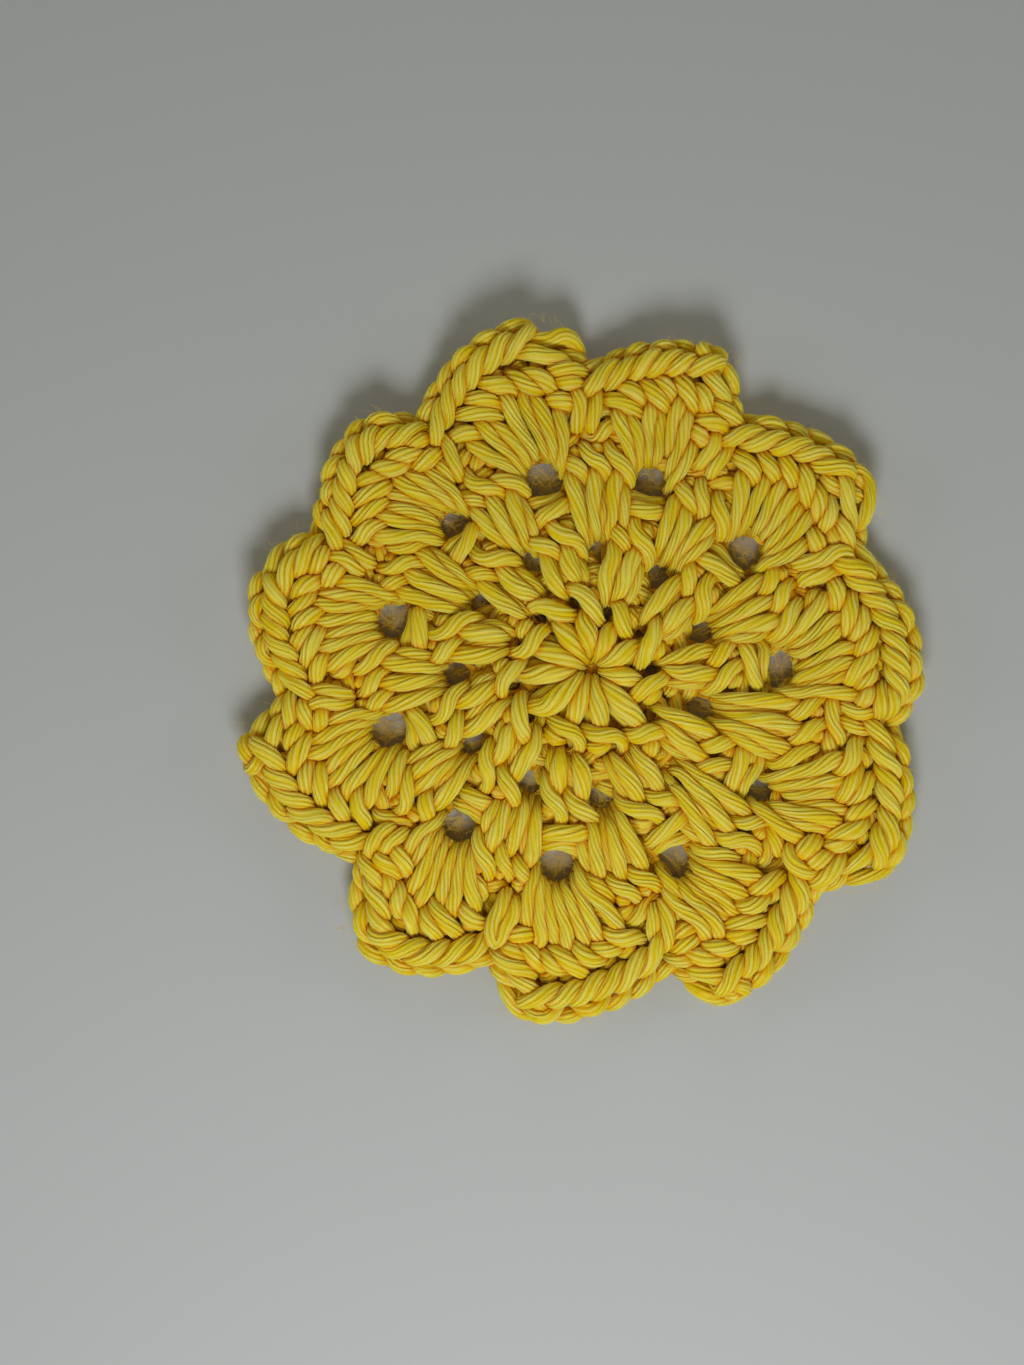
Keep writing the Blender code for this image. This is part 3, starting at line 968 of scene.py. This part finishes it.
def yarn_pieces(yarn, rings, light, contact, labels, material):
    """The yarn's surface as one mesh for each name in the labels; each ends where the next one begins."""
    sides = rings.shape[1]
    angles = np.linspace(0.0, 2 * math.pi, sides, endpoint=False)
    across = GRAIN_ACROSS * np.cos(angles)[None, :], GRAIN_ACROSS * np.sin(angles)[None, :]
    side = np.arange(sides)[None, :]
    onward = (side + 1) % sides
    points = bent(rings)
    pieces = []
    for name in sorted(set(labels)):
        own = np.flatnonzero(labels == name)
        joined = np.unique(np.concatenate([own, yarn.next[own]]))
        place_of = np.full(len(points), -1)
        place_of[joined] = np.arange(len(joined))
        ring = place_of[own][:, None] * sides
        after = place_of[yarn.next[own]][:, None] * sides
        faces = np.stack([ring + side, ring + onward, after + onward, after + side], -1).reshape(-1, 4)
        mesh = bpy.data.meshes.new(name)
        flat = points[joined].reshape(-1, 3)
        mesh.vertices.add(len(flat))
        mesh.vertices.foreach_set("co", flat.ravel())
        mesh.loops.add(faces.size)
        mesh.loops.foreach_set("vertex_index", faces.ravel())
        mesh.polygons.add(len(faces))
        mesh.polygons.foreach_set("loop_start", np.arange(0, faces.size, 4))
        mesh.update(calc_edges=True)
        mesh.shade_smooth()
        grain = np.stack(np.broadcast_arrays(yarn.gone[joined][:, None] * GRAIN_ALONG, *across), -1)
        store(mesh, "fibre", "FLOAT_VECTOR", "vector", grain)
        store(mesh, "light", "FLOAT", "value", light[joined])
        store(mesh, "contact", "FLOAT", "value", contact[joined])
        mesh.materials.append(material)
        pieces.append(linked(name, mesh))
    return pieces


def store(mesh, name, kind, field, values):
    """Values for the points of a mesh, which its material reads by name."""
    attribute = mesh.attributes.new(name, kind, "POINT")
    attribute.data.foreach_set(field, np.ascontiguousarray(values, np.float32).ravel())


# The layer of inner strands, in mm: how far inside the outline it ends, its thickness, how far its middle
# lies below the fabric's, how far it keeps off a gap that is as wide behind as in front, and how much
# nearer it comes to one that is shut behind. Its edge at a gap is frayed down to so much of that.
CORE_INSET = 3.4
CORE_THICK = 0.9
CORE_LOW = 0.9
OFF_OPEN_GAP = 0.7
NEARER_TO_SHUT = 0.8
FRAYED_TO = 0.88

# Its mesh: in mm the distance between its points, their distance from its edges, and half the square that
# they are laid over; in degrees the steps of its rim and of its edges at the gaps. A face counts as being
# in a gap when its middle is nearer than so much of the way to the edge, and outside the rim when it is
# past it by the last value, in mm.
CORE_SPACING = 1.6
CORE_MARGIN = 0.8
CORE_SQUARE = 56.0
RIM_STEP = 1.5
GAP_STEP = 20.0
IN_GAP = 0.8
RIM_PLAY = 0.05


def reach_toward(x, y):
    """The outline's distance from the centre, in the direction of one place."""
    return float(reach(np.array([math.degrees(math.atan2(y, x))]))[0])


def core_openings():
    """The openings of the inner strands: their middles, and their half sizes across and outward."""
    return [
        (middle, *(size + OFF_OPEN_GAP - NEARER_TO_SHUT * taper for size in half))
        for middle, half, taper in gaps() if taper < SHUT_TAPER
    ]


def core_face_kept(spot, openings):
    """Whether a face with its middle there is inside the outline and in none of the openings."""
    inside = math.hypot(*spot) < reach_toward(*spot) - CORE_INSET + RIM_PLAY
    for middle, across, along in openings:
        left, outward = gap_axes(middle)
        offset = spot - middle
        inside = inside and math.hypot(offset @ left / across, offset @ outward / along) > IN_GAP
    return inside


def core_mesh(rng):
    """The inner strands on the flat fabric: their points, and their faces between the openings."""
    rim = np.arange(0.0, FULL_TURN, RIM_STEP)
    lines = [round_middle(rim, reach(rim) - CORE_INSET)]
    openings = core_openings()
    turns = np.radians(np.arange(0.0, FULL_TURN, GAP_STEP))
    for middle, across, along in openings:
        frayed = rng.uniform(FRAYED_TO, 1.0, len(turns))
        lines.append(at_gap(middle, frayed * across * np.cos(turns), frayed * along * np.sin(turns)))
    points, edges = [], []
    for line in lines:
        first = len(points)
        points += [Vector(spot) for spot in line]
        edges += [(first + n, first + (n + 1) % len(line)) for n in range(len(line))]
    steps = np.arange(-CORE_SQUARE, CORE_SQUARE, CORE_SPACING)
    for spot in (np.array([x, y]) for x in steps for y in steps):
        clear = math.hypot(*spot) < reach_toward(*spot) - CORE_INSET - CORE_MARGIN
        for middle, across, along in openings:
            clear = clear and np.linalg.norm(spot - middle) > max(across, along) + CORE_MARGIN
        if clear:
            points.append(Vector(spot))
    flat, _, faces, *_ = delaunay_2d_cdt(points, edges, [], 2, 1e-4)
    flat = np.array([tuple(v) for v in flat])
    return flat, [tuple(face) for face in faces if core_face_kept(flat[list(face)].mean(0), openings)]


def inner_strands(material, rng):
    """The strands between the front and back loops, felted together: one thin sheet inside the stitches, in
    painted deep shade.
    """
    flat, front = core_mesh(rng)
    count = len(flat)
    top = bent(np.column_stack([flat, np.full(count, CORE_THICK / 2 - CORE_LOW)]))
    bottom = bent(np.column_stack([flat, np.full(count, -CORE_THICK / 2 - CORE_LOW)]))
    sides = {side: True for face in front for side in zip(face, face[1:] + face[:1])}
    walls = [(b, a, a + count, b + count) for a, b in sides if (b, a) not in sides]
    back = [tuple(v + count for v in reversed(face)) for face in front]
    return made_piece("inner_strands", np.vstack([top, bottom]).tolist(), front + back + walls, material)


# Loose fibres are drawn so many mm thick, over twice as thick as real ones, which are too fine to show. Each
# has three places along it, with such shares of that thickness.
FIBRE_THICK = 0.045
FIBRE_TAPER = (1.0, 1.0, 0.4)

# Across the gaps: so many to a square mm, and in the large holes only a share of that. They begin at a
# share of a gap's size from its middle, end so many radians off the far side after a share of the way there,
# and bend so many mm. Their w in mm lies between two values, and changes a little along each.
GAP_FIBRES = 3.3
WIDE_GAP_SHARE = 0.7
GAP_EDGE = 1.1
GAP_ASTRAY = 0.8
GAP_CROSSED = (0.5, 1.0)
GAP_BEND = 0.35
GAP_DEPTHS = (-2.1, -0.2)
GAP_SLOPES = (-0.3, 0.3)

# Off the rim: so many, each rooted so many mm inside the outline and standing out up to so many mm. Their w
# at the root lies between two values, in mm, and they bend so many degrees.
RIM_FIBRES = 400
RIM_ROOT = 1.2
RIM_LENGTH = 0.6
RIM_HEIGHTS = (-1.0, 1.6)
RIM_BEND = 1.2


def gap_fibres(rng):
    """Three places on each fibre that lies across a gap."""
    fibres = []
    for middle, half, taper in gaps():
        if taper == SHUT_TAPER:
            continue
        edge = GAP_EDGE * np.array(half)
        crowding = GAP_FIBRES * (WIDE_GAP_SHARE if taper == HOLE_TAPER else 1.0)
        count = int(crowding * math.pi * half[0] * half[1])
        start = rng.uniform(0.0, 2 * math.pi, count)
        end = start + math.pi + rng.normal(0.0, GAP_ASTRAY, count)
        first = np.stack([edge[0] * np.cos(start), edge[1] * np.sin(start)], 1)
        last = np.stack([edge[0] * np.cos(end), edge[1] * np.sin(end)], 1)
        last = first + rng.uniform(*GAP_CROSSED, count)[:, None] * (last - first)
        halfway = (first + last) / 2 + rng.normal(0.0, GAP_BEND, (count, 2))
        depth = rng.uniform(*GAP_DEPTHS, count)[:, None] + rng.uniform(*GAP_SLOPES, (count, 3))
        places = [
            np.column_stack([at_gap(middle, *offset.T), w])
            for offset, w in zip((first, halfway, last), depth.T)
        ]
        fibres.append(np.stack(places, 1))
    return np.concatenate(fibres)


def rim_fibres(rng):
    """Three places on each fibre that stands off the rim."""
    angle = rng.uniform(0.0, FULL_TURN, RIM_FIBRES)
    w = rng.uniform(*RIM_HEIGHTS, RIM_FIBRES)
    length = rng.uniform(0.0, RIM_LENGTH, RIM_FIBRES)
    bend = rng.normal(0.0, RIM_BEND, RIM_FIBRES)
    places = []
    for share in (0.0, 0.6, 1.0):
        out = reach(angle) - RIM_ROOT + share * (RIM_ROOT + length)
        flat = round_middle(angle + share**2 * bend, out)
        places.append(np.column_stack([flat, w + 0.5 * share * bend]))
    return np.stack(places, 1)


def loose_fibres(material, rng):
    """Fine fibres that have worked out of the yarn, as closed three-sided tubes: they lie across the gaps
    and stand off the rim."""
    places = bent(np.concatenate([gap_fibres(rng), rim_fibres(rng)]))
    along = places[:, -1] - places[:, 0]
    side = np.cross(along, (0.0, 0.0, 1.0))
    side /= np.linalg.norm(side, axis=1)[:, None]
    up = np.cross(side, along)
    up /= np.linalg.norm(up, axis=1)[:, None]
    corners = 2 * math.pi * np.arange(3) / 3
    around = np.cos(corners)[:, None] * side[:, None, :] + np.sin(corners)[:, None] * up[:, None, :]
    thick = FIBRE_THICK / 2 * MM * np.array(FIBRE_TAPER)
    points = places[:, :, None, :] + thick[None, :, None, None] * around[:, None, :, :]
    faces = []
    for ring in range(0, 9 * len(places), 9):
        faces += [(ring + 2, ring + 1, ring), (ring + 6, ring + 7, ring + 8)]
        for low in (ring, ring + 3):
            faces += [(low + a, low + b, low + 3 + b, low + 3 + a) for a, b in ((0, 1), (1, 2), (2, 0))]
    return made_piece("loose_fibres", points.reshape(-1, 3).tolist(), faces, material)


# Half the floor's side, in metres. Each light: where it hangs, in metres, its size, its power in watts and
# its colour; all point at the coaster.
FLOOR_HALF = 1.2
LIGHTS = (
    ("key", (0.0, -0.23, 0.29), 0.14, 0.7, (0.96, 0.985, 1.0)),
    ("left_fill", (-0.9, 0.1, 0.3), 0.6, 1.4, (0.95, 0.985, 1.0)),
    ("right_fill", (0.9, 0.1, 0.3), 0.6, 1.3, (0.95, 0.985, 1.0)),
    ("far_fill", (0.0, 0.9, 0.35), 0.6, 1.0, (0.97, 0.99, 0.98)),
)
ROOM_LIGHT = (1.0, 0.93, 0.70, 1.0)
ROOM_STRENGTH = 0.13


def studio():
    """A plain pale floor, a soft key light over the photo's bottom side, three low fills from the other
    sides, and a dim warm room."""
    material, _, shader = new_material("pale_floor")
    shader.inputs["Base Color"].default_value = hex_colour("#C5C8C8")
    shader.inputs["Roughness"].default_value = 0.9
    corners = [(FLOOR_HALF * x, FLOOR_HALF * y, 0) for x, y in ((-1, -1), (1, -1), (1, 1), (-1, 1))]
    made_piece("floor", corners, [(0, 1, 2, 3)], material)
    for name, spot, size, power, colour in LIGHTS:
        light = bpy.data.lights.new(name, "AREA")
        light.size = size
        light.energy = power
        light.color = colour
        lamp = linked(name, light)
        lamp.location = spot
        lamp.rotation_euler = (-Vector(spot)).to_track_quat("-Z", "Y").to_euler()
    room = bpy.data.worlds.new("room")
    room.use_nodes = True
    background = room.node_tree.nodes["Background"]
    background.inputs["Color"].default_value = ROOM_LIGHT
    background.inputs["Strength"].default_value = ROOM_STRENGTH
    bpy.context.scene.world = room
    bpy.context.scene.view_settings.view_transform = "Standard"


# The photo's frame: its size and the starting ring's middle, in pixels, and a pixel's size at the height of
# the fabric's top. The camera looks straight down from so many metres, with its sensor's height in mm.
PIXEL = 0.153 * MM
FRAME = (1024, 1365)
CENTRE = (592, 669)
CAMERA_HEIGHT = 0.42
FABRIC_TOP = 0.005
SENSOR = 24.0


def camera():
    """The photo's view, from straight above."""
    data = bpy.data.cameras.new("camera")
    data.sensor_fit = "VERTICAL"
    data.sensor_height = SENSOR
    data.lens = SENSOR * (CAMERA_HEIGHT - FABRIC_TOP) / (FRAME[1] * PIXEL)
    eye = linked("camera", data)
    eye.location = ((FRAME[0] / 2 - CENTRE[0]) * PIXEL, (CENTRE[1] - FRAME[1] / 2) * PIXEL, CAMERA_HEIGHT)
    bpy.context.scene.camera = eye


def main():
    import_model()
    rng = np.random.default_rng(SEED)
    ways, owners_of = [], []
    for stitches in rounds():
        way, owners = loops(stitches, rng)
        ways.append(smooth_curve(way, STEP))
        owners_of.append(owners)
    yarn = Yarn(ways)
    settle(yarn)
    rings, light = swept(yarn, rng)
    rings, contact = pressed(yarn, rings)
    pieces = yarn_pieces(yarn, rings, light, contact, piece_labels(yarn, owners_of), plied_cotton())
    core = inner_strands(deep_shade_cotton(), rng)
    pieces.append(loose_fibres(cotton_fibre(), rng))
    for piece in [core, *pieces]:
        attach(piece, "root")
    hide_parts("coaster")
    studio()
    camera()


main()
